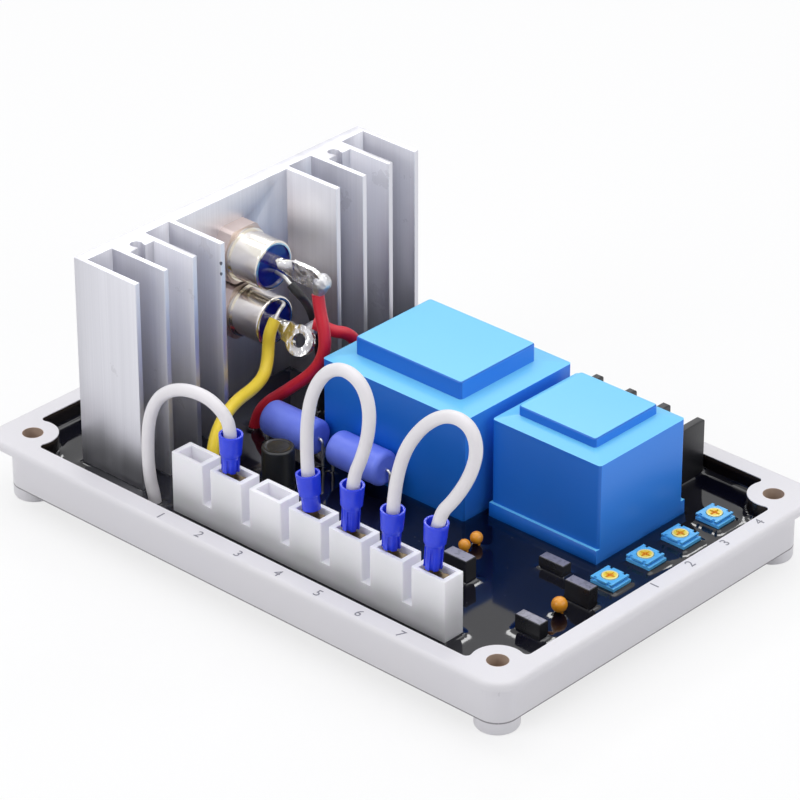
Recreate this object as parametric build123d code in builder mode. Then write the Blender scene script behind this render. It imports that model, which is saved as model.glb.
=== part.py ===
from build123d import *
from math import cos, radians, sin, tan
import os

os.makedirs("parts", exist_ok=True)

# Open voltage regulator for a generator: a shallow tray cast full of resin, with a finned
# heat sink, two stud thyristors, two potted transformers and a row of push-on terminals.
# +X runs along the tray away from the heat sink, -Y faces the terminals, +Z is up, and the
# origin is the middle of the tray's plan at the underside of its feet. Millimetres.

# Tray
hole_pitch_x = 150.0
hole_pitch_y = 98.0
hole_diameter = 5.1
flange_reach = 9.0
flange_thickness = 2.0
flange_corner = 7.0
flange_edge_round = 1.2
column_radius = 5.3
wall_thickness = 1.7
boss_radius = 6.3
boss_blend = 1.2
rim_height = 16.7
foot_height = 3.3
foot_edge_round = 0.8
floor_thickness = 1.6
post_diameter = 5.0
post_spacing_x = 62.0
post_spacing_y = 82.0

# Circuit board and the resin it is cast in
board_lift = 2.5
board_thickness = 1.6
board_gap = 1.0
resin_below_rim = 4.5

# Large heat sink: one extrusion that stands on the board
sink_back_x = -61.9
sink_centre_y = 3.6
sink_length = 97.2
sink_depth = 20.6
sink_height = 58.4
fins_per_side = 4
fin_thickness = 1.4
fin_pitch = 9.35
flat_web = 3.9
slot_web = 3.2
channel_web = 7.7
channel_slot = 1
channel_radius = 1.5
channel_neck = 2.2
channel_inset = 1.9
screw_length = 9.5
screw_head_radius = 2.8
screw_head_height = 1.9

# Stud thyristors, one above the other on the flat between the fins
device_y = 3.6
upper_device_z = 52.8
lower_device_z = 37.7
hex_across_flats = 14.3
hex_height = 4.2
hex_chamfer = 0.8
collar_radius = 6.9
collar_height = 0.9
can_radius = 6.4
can_length = 9.8
can_edge_round = 0.5
seal_radius = 5.5
seal_depth = 1.6
seal_recess = 0.5
stud_radius = 3.1
stud_length = 13.5
stud_clearance = 0.2
nut_across_flats = 11.0
nut_height = 4.8
washer_radius = 6.5
washer_height = 1.0
lug_root = 0.9
lug_tube_radius = 1.5
lug_thickness = 1.3
lug_neck_width = 5.0
upper_lug_rise = 1.5
upper_lug_tilt = -1.5
upper_lug_twist = 0
upper_lug_tube = 2.8
upper_lug_flare = 3.8
upper_lug_eye_at = 13.6
upper_lug_eye_radius = 2.3
upper_lug_hole_radius = 1.0
lower_lug_rise = 0
lower_lug_tilt = -15.0
lower_lug_twist = 30.0
lower_lug_tube = 1.2
lower_lug_flare = 2.8
lower_lug_eye_at = 8.8
lower_lug_eye_radius = 3.9
lower_lug_hole_radius = 1.8
gate_radius = 0.5
upper_gate_seat = (1.1, -2.1)
lower_gate_seat = (2.15, 4.1)
upper_solder_radius = 2.4
upper_solder_at = 15.1
upper_solder_side = 0.9
upper_solder_drop = 0.7
upper_solder_neck = 1.9
lower_solder_radius = 2.0
lower_solder_side = 0.85
lower_solder_inset = 1.2
solder_collar = 0.7
solder_skin = 0.15

# Potted transformers
large_tr_centre = (0.65, 16.5)
large_tr_size = (45.5, 38.4)
large_tr_shoulder_z = 38.1
large_tr_top_z = 42.8
large_tr_top_size = (34.0, 26.6)
large_tr_top_centre = (-0.9, 17.6)
small_tr_centre = (42.4, 19.6)
small_tr_size = (33.1, 30.6)
small_tr_shoulder_z = 36.8
small_tr_top_z = 39.2
small_tr_top_size = (23.7, 22.6)
small_tr_top_centre = (40.7, 21.3)
small_tr_foot_z = 14.6
small_tr_foot_ledge = 0.8
transformer_corner = 0.9
transformer_edge = 0.5

# Terminal housing: seven pockets on one bar
pocket_count = 7
pocket_pitch = 12.7
first_pocket_x = -24.3
tower_width = 10.2
housing_y = -43.4
housing_depth = 6.4
housing_top_z = 28.1
housing_wall = 1.05
pocket_side_wall = 1.35
pocket_floor_z = 15.4
groove_bottom_z = 17.8
housing_edge = 0.4
tab_width = 6.3
tab_thickness = 0.8
tab_top_z = 22.6
tab_chamfer = 1.0

# Push-on connectors: a metal receptacle on the tab and a flared sleeve above it
wire_radius = 1.55
sleeve_seat_gap = 0.2
sleeve_skirt_radius = 2.2
sleeve_neck_drop = 5.2
sleeve_flare_rise = 0.6
sleeve_mouth_radius = 2.9
sleeve_wall = 0.6
sleeve_funnel_depth = 3.4
sleeve_funnel_taper = 0.3
crimp_count = 6
crimp_width = 0.9
crimp_depth = 0.45
barrel_radius = 1.4
barrel_above = 4.0
barrel_below = 4.0
receptacle_width = 4.6
receptacle_thickness = 1.7
receptacle_roll_radius = 1.2
receptacle_top_gap = 0.9
receptacle_foot_z = 17.4
connector_shifts = {2: -1.3, 4: -0.7, 5: -1.2, 6: -1.3, 7: -1.3}
connector_tilts = {2: 2.0, 4: -7.0, 5: 3.5, 6: 3.0, 7: 5.0}
sleeve_heights = {2: 9.8, 4: 9.1, 5: 11.5, 6: 10.0, 7: 12.0}
uncrimped_sleeve = 4
wire_foot_gap = 0.6
wire_straight = 1.5
bend_share = 0.45

# Trimmers in a row along the +X wall
trimmer_x = 67.3
first_trimmer_y = -1.5
trimmer_pitch = 12.7
trimmer_count = 4
trimmer_size = 6.3
trimmer_top_z = 13.9
trimmer_plate = 0.5
trimmer_groove = 0.4
trimmer_groove_depth = 0.5
trimmer_ledge = 0.6
trimmer_notch_width = 0.9
trimmer_notch_depth = 0.7
trimmer_notch_spacing = 4.0
rotor_radius = 1.95
rotor_clearance = 0.15
rotor_thickness = 0.9
rotor_gap = 0.1
rotor_proud = 0.15
rotor_pin_radius = 0.7
rotor_pin_clearance = 0.05
rotor_pin_length = 1.4
rotor_slot_width = 0.55
rotor_slot_length = 2.9
rotor_slot_depth = 0.45

# Small parts on the board: centre in plan, then size along X and Y, then top
film_capacitors = (
    ((39.9, -22.6), (7.2, 3.5), 17.9),
    ((68.0, -29.6), (7.3, 2.9), 16.0),
    ((67.9, -12.4), (7.3, 3.0), 17.2),
    ((54.3, -5.7), (7.4, 2.8), 14.8),
)
film_edge = 0.3
bead_capacitors = (
    ((33.6, -9.6), 1.55),
    ((33.6, -13.8), 1.45),
    ((67.3, -19.2), 1.9),
)
bead_clear = 0.1
bead_leg_radius = 0.3
bead_leg_spacing = 1.6
axial_centres_x = (-27.1, -5.1)
axial_y = -7.5
axial_z = 19.2
axial_radius = 4.5
axial_length = 16.4
axial_edge_round = 1.4
axial_lead_radius = 0.4
axial_lead_reach = 1.1
axial_lead_bend = 0.9
can_capacitor_centre = (-18.0, -22.5)
can_capacitor_radius = 4.0
can_capacitor_top_z = 23.9
can_capacitor_edge = 0.5
can_capacitor_groove_z = 14.2
can_capacitor_groove = 0.4

# Black heat sink behind the small transformer
rear_sink_x = 18.2
rear_sink_y = 38.6
rear_sink_web = 2.0
rear_sink_depth = 13.2
rear_sink_fins = 4
rear_sink_pitch = 10.5
rear_fin_thickness = 1.8
rear_sink_top_z = 26.9
rear_fin_edge = 0.8

# Levels and positions that follow from the sizes above
hole_x = hole_pitch_x / 2
hole_y = hole_pitch_y / 2
corners = [(sx * hole_x, sy * hole_y) for sx in (-1, 1) for sy in (-1, 1)]
wall_length = hole_pitch_x + 2 * column_radius
wall_width = hole_pitch_y + 2 * column_radius
well_length = wall_length - 2 * wall_thickness
well_width = wall_width - 2 * wall_thickness
floor_z = foot_height + floor_thickness
board_z = floor_z + board_lift
board_top = board_z + board_thickness
resin_z = rim_height - resin_below_rim
flat_x = sink_back_x + flat_web
sink_front_x = sink_back_x + sink_depth
slot_width = fin_pitch - fin_thickness
flat_width = sink_length - 2 * ((fins_per_side - 1) * fin_pitch + fin_thickness)
channel_x = sink_back_x + channel_web - channel_inset
channel_ys = [
    sink_centre_y + side * (sink_length / 2 - channel_slot * fin_pitch - fin_thickness - slot_width / 2)
    for side in (-1, 1)
]
can_front_x = flat_x + hex_height + can_length
pocket_xs = [first_pocket_x + i * pocket_pitch for i in range(pocket_count)]
housing_x = (pocket_xs[0] + pocket_xs[-1]) / 2
housing_length = pocket_xs[-1] - pocket_xs[0] + tower_width
sleeve_seat_z = housing_top_z + sleeve_seat_gap
receptacle_top_z = housing_top_z - receptacle_top_gap
trimmer_centres = [(trimmer_x, first_trimmer_y + i * trimmer_pitch) for i in range(trimmer_count)]

cast_in = []


def save(builder, name):
    builder.part.label = name
    export_step(builder.part, f"parts/{name}.step")


def bend_radii(points):
    # The largest arc that each corner's two runs leave room for
    vectors = [Vector(*b) - Vector(*a) for a, b in zip(points, points[1:])]
    radii = []
    for before, after in zip(vectors, vectors[1:]):
        turn = radians(before.get_angle(after))
        radii.append(bend_share * min(before.length, after.length) / tan(turn / 2))
    return radii


def rest_plane(centre, height):
    return Plane(origin=(centre[0], centre[1], height))


# Tray
with BuildPart() as tray:
    with BuildSketch(Plane.XY.offset(rim_height - flange_thickness)):
        RectangleRounded(
            hole_pitch_x + 2 * flange_reach, hole_pitch_y + 2 * flange_reach, flange_corner
        )
    extrude(amount=flange_thickness)
    fillet(tray.faces().sort_by(Axis.Z)[-1].edges(), flange_edge_round)
    with BuildSketch(Plane.XY):
        with Locations(*corners):
            Circle(column_radius)
    extrude(amount=foot_height)
    fillet(tray.faces().sort_by(Axis.Z)[:4].edges(), foot_edge_round)
    with BuildSketch(Plane.XY.offset(foot_height)):
        RectangleRounded(wall_length, wall_width, column_radius)
    extrude(amount=rim_height - flange_thickness - foot_height)
    with BuildSketch(Plane.XY.offset(floor_z)) as well:
        Rectangle(well_length, well_width)
        with Locations(*corners):
            Circle(boss_radius, mode=Mode.SUBTRACT)
        fillet(well.vertices(), boss_blend)
    extrude(amount=rim_height, mode=Mode.SUBTRACT)
    with BuildSketch(Plane.XY.offset(floor_z)):
        with GridLocations(post_spacing_x, post_spacing_y, 3, 2):
            Circle(post_diameter / 2)
    extrude(amount=board_lift)
    with BuildSketch(Plane.XY):
        with Locations(*corners):
            Circle(hole_diameter / 2)
    extrude(amount=rim_height, mode=Mode.SUBTRACT)
save(tray, "tray")

# Circuit board, with two holes for the heat sink's screws
with BuildPart() as circuit_board:
    with BuildSketch(Plane.XY.offset(board_z)):
        Rectangle(well_length - 2 * board_gap, well_width - 2 * board_gap)
        with Locations(*corners):
            Circle(boss_radius + board_gap, mode=Mode.SUBTRACT)
        with Locations(*[(channel_x, y) for y in channel_ys]):
            Circle(channel_radius, mode=Mode.SUBTRACT)
    extrude(amount=board_thickness)
save(circuit_board, "circuit_board")
cast_in.append(circuit_board)

# Heat sink extrusion: a thick flat in the middle and four fins each side of it
with BuildPart() as heat_sink:
    with BuildSketch(Plane.XY.offset(board_top)):
        with Locations((sink_back_x + sink_depth / 2, sink_centre_y)):
            Rectangle(sink_depth, sink_length)
        with Locations(((flat_x + sink_front_x) / 2, sink_centre_y)):
            Rectangle(sink_front_x - flat_x, flat_width, mode=Mode.SUBTRACT)
        for side in (-1, 1):
            for slot in range(fins_per_side - 1):
                web = channel_web if slot == channel_slot else slot_web
                inset = slot * fin_pitch + fin_thickness + slot_width / 2
                slot_y = sink_centre_y + side * (sink_length / 2 - inset)
                slot_depth = sink_depth - web
                with Locations((sink_front_x - slot_depth / 2, slot_y)):
                    Rectangle(slot_depth, slot_width, mode=Mode.SUBTRACT)
        with Locations(*[(channel_x, y) for y in channel_ys]):
            Circle(channel_radius, mode=Mode.SUBTRACT)
        with Locations(*[(channel_x + channel_inset / 2, y) for y in channel_ys]):
            Rectangle(channel_inset, channel_neck, mode=Mode.SUBTRACT)
    extrude(amount=sink_height)
    with BuildSketch(Plane.YZ.offset(sink_back_x)):
        with Locations((device_y, upper_device_z), (device_y, lower_device_z)):
            Circle(stud_radius + stud_clearance)
    extrude(amount=flat_web, mode=Mode.SUBTRACT)
save(heat_sink, "heat_sink")
cast_in.append(heat_sink)

# Two screws from under the board into the heat sink's channels
with BuildPart() as sink_screws:
    with BuildSketch(Plane.XY.offset(board_z)):
        with Locations(*[(channel_x, y) for y in channel_ys]):
            Circle(channel_radius)
    extrude(amount=screw_length)
    with BuildSketch(Plane.XY.offset(board_z)):
        with Locations(*[(channel_x, y) for y in channel_ys]):
            Circle(screw_head_radius)
    extrude(amount=-screw_head_height)
save(sink_screws, "sink_screws")
cast_in.append(sink_screws)

# Stud thyristors: the gate's route is given from its seat on the glass, X outwards
devices = {
    "upper": {
        "z": upper_device_z,
        "rise": upper_lug_rise,
        "tilt": upper_lug_tilt,
        "twist": upper_lug_twist,
        "tube": upper_lug_tube,
        "flare": upper_lug_flare,
        "eye_at": upper_lug_eye_at,
        "eye_radius": upper_lug_eye_radius,
        "hole_radius": upper_lug_hole_radius,
        "gate_seat": upper_gate_seat,
        "gate_route": [(2.4, 0.1, -0.6), (4.2, 0.2, -1.9)],
    },
    "lower": {
        "z": lower_device_z,
        "rise": lower_lug_rise,
        "tilt": lower_lug_tilt,
        "twist": lower_lug_twist,
        "tube": lower_lug_tube,
        "flare": lower_lug_flare,
        "eye_at": lower_lug_eye_at,
        "eye_radius": lower_lug_eye_radius,
        "hole_radius": lower_lug_hole_radius,
        "gate_seat": lower_gate_seat,
        "gate_route": [(2.0, -0.6, 1.0), (2.8, -3.3, 0.5), (3.0, -5.2, -1.4)],
    },
}
lugs = {}
gate_ends = {}
for level, device in devices.items():
    seat = Plane(origin=(flat_x, device_y, device["z"]), x_dir=(0, 1, 0), z_dir=(1, 0, 0))
    front = Plane(origin=(can_front_x, device_y, device["z"]), x_dir=(0, 1, 0), z_dir=(1, 0, 0))
    tilt = radians(device["tilt"])
    twist = radians(device["twist"])
    lug_dir = (cos(tilt), 0, sin(tilt))
    lug_side = (sin(twist) * sin(tilt), cos(twist), -sin(twist) * cos(tilt))
    lug_start = (can_front_x, device_y, device["z"] + device["rise"])
    lug_plane = Plane(origin=lug_start, x_dir=lug_side, z_dir=lug_dir)
    eye_point = lug_plane.from_local_coords(Vector(0, 0, device["eye_at"]))
    eye_plane = Plane(origin=eye_point, x_dir=lug_dir, z_dir=-lug_plane.x_dir)
    neck_at = device["tube"] + device["flare"]

    with BuildPart() as thyristor_case:
        with BuildSketch(seat):
            RegularPolygon(hex_across_flats / 2, 6, major_radius=False)
        extrude(amount=hex_height)
        with BuildSketch(seat):
            Circle(hex_across_flats / 2 + hex_chamfer)
        extrude(amount=hex_height, mode=Mode.INTERSECT)
        with BuildSketch(seat.offset(hex_height)):
            Circle(can_radius)
        extrude(amount=can_length)
        fillet(thyristor_case.faces().sort_by(Axis.X)[-1].edges(), can_edge_round)
        with BuildSketch(seat.offset(hex_height)):
            Circle(collar_radius)
        extrude(amount=collar_height)
        with BuildSketch(front):
            Circle(seal_radius)
        extrude(amount=-(seal_depth + seal_recess), mode=Mode.SUBTRACT)
        with BuildSketch(seat):
            Circle(stud_radius)
        extrude(amount=-stud_length)
    save(thyristor_case, f"{level}_thyristor_case")

    with BuildPart() as cathode_lug:
        with BuildSketch(lug_plane.offset(-lug_root)):
            Circle(lug_tube_radius)
        extrude(amount=lug_root + device["tube"])
        with BuildSketch(lug_plane.offset(device["tube"])):
            Circle(lug_tube_radius)
        with BuildSketch(lug_plane.offset(neck_at)):
            Ellipse(lug_thickness / 2, lug_neck_width / 2)
        loft()
        with BuildSketch(eye_plane):
            Circle(device["eye_radius"])
            with Locations(((neck_at - device["eye_at"]) / 2, 0)):
                Rectangle(device["eye_at"] - neck_at, lug_neck_width)
            Circle(device["hole_radius"], mode=Mode.SUBTRACT)
        extrude(amount=lug_thickness / 2, both=True)
    save(cathode_lug, f"{level}_cathode_lug")
    lugs[level] = (cathode_lug, lug_plane)

    gate_y = device_y + device["gate_seat"][0]
    gate_z = device["z"] + device["gate_seat"][1]
    gate_root = (can_front_x - seal_recess - seal_depth / 2, gate_y, gate_z)
    gate_points = [gate_root]
    gate_points += [(can_front_x + x, gate_y + y, gate_z + z) for x, y, z in device["gate_route"]]
    gate_ends[level] = gate_points[-1]
    with BuildPart() as gate_pin:
        with BuildLine() as gate_line:
            FilletPolyline(*gate_points, radius=bend_radii(gate_points))
        gate_path = gate_line.wire()
        with BuildSketch(Plane(origin=gate_path @ 0, z_dir=gate_path % 0)):
            Circle(gate_radius)
        sweep(path=gate_path)
    save(gate_pin, f"{level}_gate_pin")

    with BuildPart() as glass_seal:
        with BuildSketch(front.offset(-seal_recess)):
            Circle(seal_radius)
        extrude(amount=-seal_depth)
        add(cathode_lug.part, mode=Mode.SUBTRACT)
        add(gate_pin.part, mode=Mode.SUBTRACT)
    save(glass_seal, f"{level}_glass_seal")

device_centres = [(device_y, upper_device_z), (device_y, lower_device_z)]
with BuildPart() as stud_washers:
    with BuildSketch(Plane.YZ.offset(sink_back_x)):
        with Locations(*device_centres):
            Circle(washer_radius)
            Circle(stud_radius, mode=Mode.SUBTRACT)
    extrude(amount=-washer_height)
save(stud_washers, "stud_washers")

with BuildPart() as stud_nuts:
    with BuildSketch(Plane.YZ.offset(sink_back_x - washer_height)):
        with Locations(*device_centres):
            RegularPolygon(nut_across_flats / 2, 6, major_radius=False)
            Circle(stud_radius, mode=Mode.SUBTRACT)
    extrude(amount=-nut_height)
save(stud_nuts, "stud_nuts")

# Potted transformers: a block with a raised middle
with BuildPart() as large_transformer:
    with BuildSketch(rest_plane(large_tr_centre, board_top)):
        RectangleRounded(*large_tr_size, transformer_corner)
    extrude(amount=large_tr_shoulder_z - board_top)
    with BuildSketch(rest_plane(large_tr_top_centre, large_tr_shoulder_z)):
        RectangleRounded(*large_tr_top_size, transformer_corner)
    extrude(amount=large_tr_top_z - large_tr_shoulder_z)
    fillet(large_transformer.faces().filter_by(Axis.Z).sort_by(Axis.Z)[-1].edges(), transformer_edge)
save(large_transformer, "large_transformer")
cast_in.append(large_transformer)

with BuildPart() as small_transformer:
    with BuildSketch(rest_plane(small_tr_centre, board_top)):
        RectangleRounded(*small_tr_size, transformer_corner)
    extrude(amount=small_tr_shoulder_z - board_top)
    with BuildSketch(rest_plane(small_tr_centre, board_top)):
        Rectangle(small_tr_size[0], small_tr_size[1] + 2 * small_tr_foot_ledge)
    extrude(amount=small_tr_foot_z - board_top)
    with BuildSketch(rest_plane(small_tr_top_centre, small_tr_shoulder_z)):
        RectangleRounded(*small_tr_top_size, transformer_corner)
    extrude(amount=small_tr_top_z - small_tr_shoulder_z)
    fillet(small_transformer.faces().filter_by(Axis.Z).sort_by(Axis.Z)[-1].edges(), transformer_edge)
save(small_transformer, "small_transformer")
cast_in.append(small_transformer)

# Terminal tabs stand on the board and rise through the housing's floor
tab_sites = [(x, housing_y) for x in pocket_xs]
with BuildPart() as terminal_tabs:
    with BuildSketch(Plane.XY.offset(board_top)):
        with Locations(*tab_sites):
            Rectangle(tab_width, tab_thickness)
    extrude(amount=tab_top_z - board_top)
    tip_edges = terminal_tabs.faces().filter_by(Axis.Z).sort_by(Axis.Z)[-pocket_count:].edges()
    chamfer(tip_edges.filter_by(Axis.Y), tab_chamfer)
save(terminal_tabs, "terminal_tabs")
cast_in.append(terminal_tabs)

# Housing: towers joined by a bar below the grooves
with BuildPart() as terminal_housing:
    with BuildSketch(rest_plane((housing_x, housing_y), board_top)):
        Rectangle(housing_length, housing_depth)
    extrude(amount=groove_bottom_z - board_top)
    with BuildSketch(Plane.XY.offset(groove_bottom_z)):
        with Locations(*tab_sites):
            Rectangle(tower_width, housing_depth)
    extrude(amount=housing_top_z - groove_bottom_z)
    fillet(terminal_housing.edges().filter_by(Axis.Z), housing_edge)
    with BuildSketch(Plane.XY.offset(pocket_floor_z)):
        with Locations(*tab_sites):
            Rectangle(tower_width - 2 * pocket_side_wall, housing_depth - 2 * housing_wall)
    extrude(amount=housing_top_z - pocket_floor_z, mode=Mode.SUBTRACT)
    with BuildSketch(Plane.XY.offset(board_top)):
        with Locations(*tab_sites):
            Rectangle(tab_width, tab_thickness)
    extrude(amount=pocket_floor_z - board_top, mode=Mode.SUBTRACT)
save(terminal_housing, "terminal_housing")
cast_in.append(terminal_housing)

# Push-on connectors
sleeve_axes = {}
for number, height in sleeve_heights.items():
    pocket_x = pocket_xs[number - 1]
    tilt = radians(connector_tilts[number])
    up = (sin(tilt), 0, cos(tilt))
    across = (cos(tilt), 0, -sin(tilt))
    seat_point = (pocket_x + connector_shifts[number], housing_y, sleeve_seat_z)
    seat = Plane(origin=seat_point, x_dir=across, z_dir=up)
    profile_plane = Plane(origin=seat_point, x_dir=across, z_dir=(0, -1, 0))
    sleeve_axes[number] = seat
    neck_height = height - sleeve_neck_drop
    funnel_floor = height - sleeve_funnel_depth
    crimp_height = neck_height - sleeve_flare_rise

    with BuildPart() as sleeve:
        with BuildSketch(profile_plane):
            with BuildLine():
                Polyline(
                    (barrel_radius, 0),
                    (sleeve_skirt_radius, 0),
                    (sleeve_skirt_radius, crimp_height),
                    (sleeve_mouth_radius - sleeve_funnel_taper, neck_height),
                    (sleeve_mouth_radius, height),
                    (sleeve_mouth_radius - sleeve_wall, height),
                    (sleeve_mouth_radius - sleeve_wall - sleeve_funnel_taper, funnel_floor),
                    (wire_radius, funnel_floor),
                    (wire_radius, barrel_above),
                    (barrel_radius, barrel_above),
                    close=True,
                )
            make_face()
        revolve(axis=Axis(seat_point, up))
        if number != uncrimped_sleeve:
            with BuildSketch(seat):
                with PolarLocations(sleeve_skirt_radius, crimp_count):
                    Rectangle(2 * crimp_depth, crimp_width)
            extrude(amount=crimp_height - crimp_depth, mode=Mode.SUBTRACT)
    save(sleeve, f"connector_sleeve_{number}")

    with BuildPart() as receptacle:
        with BuildSketch(seat.offset(-barrel_below)):
            Circle(barrel_radius)
        extrude(amount=barrel_above + barrel_below)
        with BuildSketch(rest_plane((pocket_x, housing_y), receptacle_foot_z)):
            Rectangle(receptacle_width, receptacle_thickness)
            with Locations((-receptacle_width / 2, 0), (receptacle_width / 2, 0)):
                Circle(receptacle_roll_radius)
        extrude(amount=receptacle_top_z - receptacle_foot_z)
        add(terminal_tabs.part, mode=Mode.SUBTRACT)
    save(receptacle, f"receptacle_{number}")


def sleeve_point(number, height):
    return tuple(sleeve_axes[number].from_local_coords(Vector(0, 0, height)))


def gate_start(level, gap):
    x, y, z = gate_ends[level]
    before = devices[level]["gate_route"][-2]
    last = devices[level]["gate_route"][-1]
    step = (Vector(*last) - Vector(*before)).normalized() * gap
    return (x + step.X, y + step.Y, z + step.Z)


# Wires: straight runs joined by tangent arcs
wire_foot_z = board_top + wire_foot_gap
insulation_gap = 0.1
gate_wire_radius = 1.1
routes = {
    "sensing_lead": (
        wire_radius,
        [
            sleeve_point(2, barrel_above),
            sleeve_point(2, sleeve_heights[2] + wire_straight),
            (-14.6, -43.9, 43.4),
            (-19.4, -44.4, 45.9),
            (-26.6, -45.2, 45.6),
            (-33.0, -45.9, 42.0),
            (-36.6, -46.3, 35.4),
            (-37.6, -46.5, 26.0),
            (-37.0, -46.5, 17.4),
            (-35.6, -46.5, 13.6),
            (-35.2, -46.5, wire_foot_z),
        ],
    ),
    "jumper_4_5": (
        wire_radius,
        [
            sleeve_point(4, barrel_above),
            sleeve_point(4, sleeve_heights[4] + wire_straight),
            (11.9, housing_y, 50.5),
            (13.9, housing_y, 59.4),
            (18.4, housing_y, 66.2),
            (24.0, housing_y, 68.8),
            (29.2, housing_y, 67.0),
            (31.5, housing_y, 61.8),
            (31.1, housing_y, 54.8),
            (29.0, housing_y, 47.8),
            sleeve_point(5, sleeve_heights[5] + wire_straight),
            sleeve_point(5, barrel_above),
        ],
    ),
    "jumper_6_7": (
        wire_radius,
        [
            sleeve_point(6, barrel_above),
            sleeve_point(6, sleeve_heights[6] + wire_straight),
            (40.1, housing_y, 49.0),
            (42.9, housing_y, 56.6),
            (48.4, housing_y, 64.2),
            (55.0, housing_y, 69.0),
            (61.2, housing_y, 68.8),
            (63.7, housing_y, 63.8),
            (61.8, housing_y, 56.4),
            (57.2, housing_y, 48.4),
            sleeve_point(7, sleeve_heights[7] + wire_straight),
            sleeve_point(7, barrel_above),
        ],
    ),
    "yellow_gate_wire": (
        wire_radius,
        [
            gate_start("lower", insulation_gap),
            gate_start("lower", 2 * wire_straight),
            (-41.0, -1.9, 34.4),
            (-39.9, -3.4, 31.0),
            (-38.2, -6.4, 28.7),
            (-36.6, -12.0, 28.0),
            (-34.8, -19.0, 28.6),
            (-33.0, -25.4, 27.6),
            (-31.4, -30.4, 24.0),
            (-30.6, -32.4, 17.4),
            (-30.4, -32.6, wire_foot_z),
        ],
    ),
    "upper_cathode_wire": (
        wire_radius,
        [
            (-30.2, 4.4, 49.8),
            (-29.3, 4.0, 46.2),
            (-27.4, 3.3, 42.4),
            (-26.4, 2.9, 37.2),
            (-27.8, 2.2, 32.4),
            (-30.5, 1.2, 28.6),
            (-33.8, 0.0, 25.4),
            (-37.1, -1.6, 22.3),
            (-40.6, -3.2, 19.2),
            (-43.1, -4.5, 14.8),
            (-43.7, -4.9, wire_foot_z),
        ],
    ),
    "lower_cathode_wire": (
        wire_radius,
        [
            (-34.2, 6.7, 39.3),
            (-32.4, 8.0, 38.9),
            (-30.2, 9.8, 37.4),
            (-28.0, 12.2, 36.9),
            (-26.6, 14.2, 34.0),
            (-26.2, 15.4, 27.0),
            (-26.0, 15.7, 18.0),
            (-26.2, 15.8, wire_foot_z),
        ],
    ),
    "upper_gate_wire": (
        gate_wire_radius,
        [
            gate_start("upper", insulation_gap),
            gate_start("upper", 2 * wire_straight),
            (-37.0, 7.0, 44.6),
            (-37.3, 9.6, 40.2),
            (-37.6, 11.6, 33.4),
            (-37.6, 12.6, 25.4),
            (-37.4, 12.8, 17.4),
            (-37.2, 12.6, wire_foot_z),
        ],
    ),
}
wires = {}
for name, (radius, points) in routes.items():
    radii = bend_radii(points)
    with BuildPart() as wire:
        with BuildLine() as route:
            FilletPolyline(*points, radius=radii)
        path = route.wire()
        with BuildSketch(Plane(origin=path @ 0, z_dir=path % 0)):
            Circle(radius)
        sweep(path=path)
    save(wire, name)
    wires[name] = wire
    cast_in.append(wire)
    print(name, "length", round(path.length, 1), "least bend", round(min(radii), 1))

# Solder on the two cathode lugs: at the tip of the upper one, beside the lower one's eye
solder_sites = {
    "upper": {
        "place": Vector(upper_solder_side, -upper_solder_drop, upper_solder_at),
        "radius": upper_solder_radius,
        "neck_radius": upper_solder_neck,
    },
    "lower": {
        "place": Vector(
            lug_thickness / 2 + lower_solder_side,
            lower_lug_eye_radius - lower_solder_inset,
            lower_lug_eye_at,
        ),
        "radius": lower_solder_radius,
    },
}
for level, site in solder_sites.items():
    lug, lug_plane = lugs[level]
    wire_name = f"{level}_cathode_wire"
    end_point, next_point = routes[wire_name][1][:2]
    wire_end = Plane(origin=end_point, z_dir=Vector(*end_point) - Vector(*next_point))
    blob_centre = lug_plane.from_local_coords(site["place"])
    with BuildPart() as solder:
        with Locations(blob_centre):
            Sphere(site["radius"])
        with BuildSketch(wire_end.offset(-solder_collar)):
            Circle(wire_radius + solder_skin)
        extrude(amount=2 * solder_collar)
        if "neck_radius" in site:
            with BuildSketch(wire_end.offset(solder_collar)):
                Circle(wire_radius + solder_skin)
            with BuildSketch(Plane(origin=blob_centre, z_dir=wire_end.z_dir)):
                Circle(site["neck_radius"])
            loft()
        add(lug.part, mode=Mode.SUBTRACT)
        add(wires[wire_name].part, mode=Mode.SUBTRACT)
    save(solder, f"{level}_solder_joint")

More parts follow.
